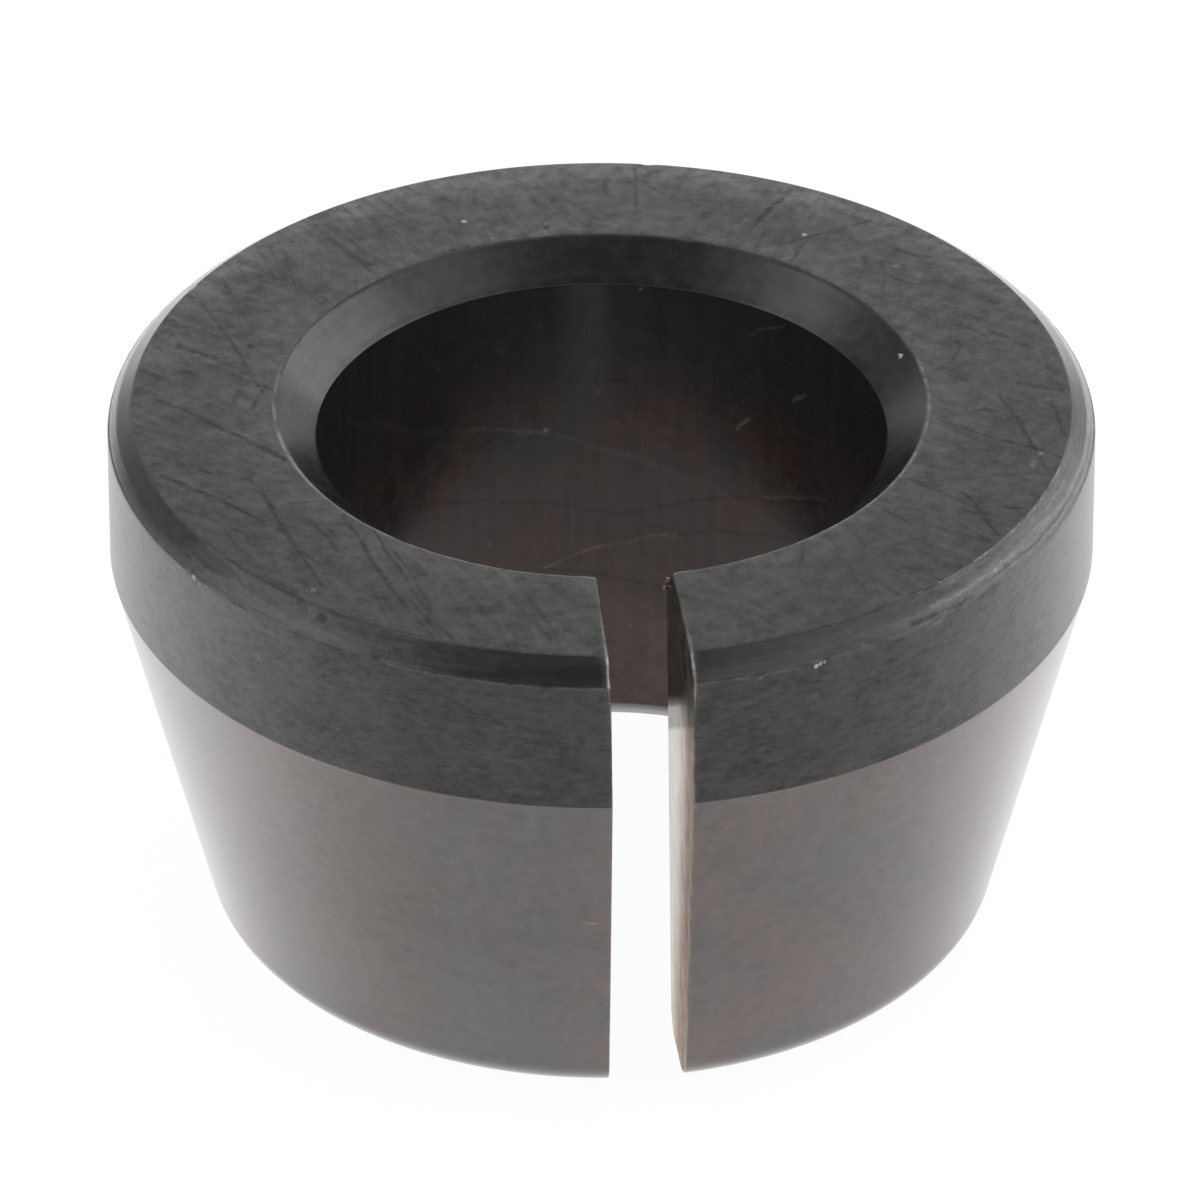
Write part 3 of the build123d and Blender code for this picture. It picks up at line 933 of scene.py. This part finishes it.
def table_material():
    """White with the object's shadow on it, and see-through from below."""
    mat = bpy.data.materials.new("table")
    mat.use_nodes = True
    g = Nodes(mat.node_tree)
    place = g.new("ShaderNodeTexCoord").outputs["Object"]
    ahead = g.split(g.vector("NORMALIZE", place))["Y"]
    outside = g.ramp(g.vector("LENGTH", place), *INSIDE)
    in_steel = g.blend(outside, TABLE_REST, g.ramp(ahead, -0.95, 0.15, TABLE_FRONT, TABLE_REST))
    level = g.blend(g.path["Is Glossy Ray"], TABLE_LEVEL, in_steel)
    glow = g.new("ShaderNodeEmission", Strength=level)
    paint = g.new("ShaderNodeBsdfDiffuse", Color=TABLE_WHITE)
    seen = g.math("MAXIMUM", g.path["Is Camera Ray"], g.path["Is Glossy Ray"])
    white = g.mix_shader(g.times(seen, TABLE_GLOW), paint, glow)
    under = g.new("ShaderNodeNewGeometry").outputs["Backfacing"]
    see_through = g.mix_shader(under, white, g.new("ShaderNodeBsdfTransparent"))
    g.put(g.new("ShaderNodeOutputMaterial").inputs["Surface"], see_through.outputs[0])
    return mat


def room():
    """White for the camera; in the steel, pale walls with a dark corner; a plain fill otherwise."""
    world = bpy.data.worlds.new("studio")
    bpy.context.scene.world = world
    world.use_nodes = True
    g = Nodes(world.node_tree)
    towards = g.new("ShaderNodeTexCoord").outputs["Generated"]
    corner = g.vector("DOT_PRODUCT", towards, tuple(Vector(CORNER).normalized()))
    corner = g.ramp(corner, *CORNER_COSINES, WALLS, CORNER_LEVEL)
    side = g.ramp(g.split(towards)["X"], -0.85, 0.1, WALL_LEFT, 1.0)
    panel = g.vector("DOT_PRODUCT", towards, tuple(Vector(DARK_PANEL).normalized()))
    panel = g.ramp(panel, *PANEL_COSINES, 1.0, PANEL_LEVEL)
    in_steel = g.times(corner, side, panel)
    level = g.blend(g.path["Is Glossy Ray"], ROOM_FILL, in_steel)
    seen = g.math("MAXIMUM", g.path["Is Camera Ray"], g.path["Is Transmission Ray"])
    sky = g.new("ShaderNodeBackground", Strength=g.blend(seen, level, 1.0))
    g.put(g.new("ShaderNodeOutputWorld").inputs["Surface"], sky.outputs[0])


def soft_box(name, towards, width, height, radiance):
    """An area lamp that faces the object from the direction given."""
    data = bpy.data.lights.new(name, "AREA")
    data.shape = "RECTANGLE"
    data.size, data.size_y = width, height
    data.energy = radiance * math.pi * width * height
    lamp = bpy.data.objects.new(name, data)
    bpy.context.scene.collection.objects.link(lamp)
    towards = Vector(towards).normalized()
    lamp.location = towards * BOX_FAR
    lamp.rotation_euler = towards.to_track_quat("Z", "Y").to_euler()


def studio():
    bpy.ops.mesh.primitive_plane_add(size=TABLE_SIZE, location=(0, 0, -TABLE_GAP * MM))
    table = bpy.context.object
    table.name = "table"
    table.data.materials.append(table_material())
    room()
    for name, box in BOXES.items():
        soft_box(name, *box)


# ---- camera: fitted to the ring's circles in the 1200 pixel frame
FRAME_PX = 1200
CAMERA_TURN = math.radians(-5.72)
CAMERA_RISE = math.radians(32.52)
CAMERA_FAR = 289.5         # mm from the point looked at
CAMERA_FOCAL_PX = 12885.0
CAMERA_AIM_Z = 7.34
CAMERA_SIDE_PX = 1.4       # the axis stands this far right of the middle
SENSOR = 36.0              # mm
CLIP = (0.01, 20.0)        # m


def camera():
    data = bpy.data.cameras.new("camera")
    data.sensor_width = SENSOR
    data.lens = CAMERA_FOCAL_PX / FRAME_PX * SENSOR
    data.shift_x = -CAMERA_SIDE_PX / FRAME_PX
    data.clip_start, data.clip_end = CLIP
    obj = bpy.data.objects.new("camera", data)
    bpy.context.scene.collection.objects.link(obj)
    level = math.cos(CAMERA_RISE)
    back = (math.sin(CAMERA_TURN) * level, -math.cos(CAMERA_TURN) * level, math.sin(CAMERA_RISE))
    back = Vector(back)
    obj.location = (Vector((0, 0, CAMERA_AIM_Z)) + back * CAMERA_FAR) * MM
    obj.rotation_euler = back.to_track_quat("Z", "Y").to_euler()
    bpy.context.scene.camera = obj


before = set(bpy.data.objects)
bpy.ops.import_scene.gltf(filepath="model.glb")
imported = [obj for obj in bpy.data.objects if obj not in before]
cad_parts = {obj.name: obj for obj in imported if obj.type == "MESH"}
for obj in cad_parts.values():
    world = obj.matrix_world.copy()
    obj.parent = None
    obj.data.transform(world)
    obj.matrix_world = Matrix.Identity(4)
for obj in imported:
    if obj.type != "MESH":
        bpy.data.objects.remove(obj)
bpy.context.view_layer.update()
body = build_ring()
for zone in ZONES:
    body.data.materials.append(MATERIALS[zone]())
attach(body, "root")
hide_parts("collet")
studio()
camera()
bpy.context.scene.view_settings.view_transform = "Standard"
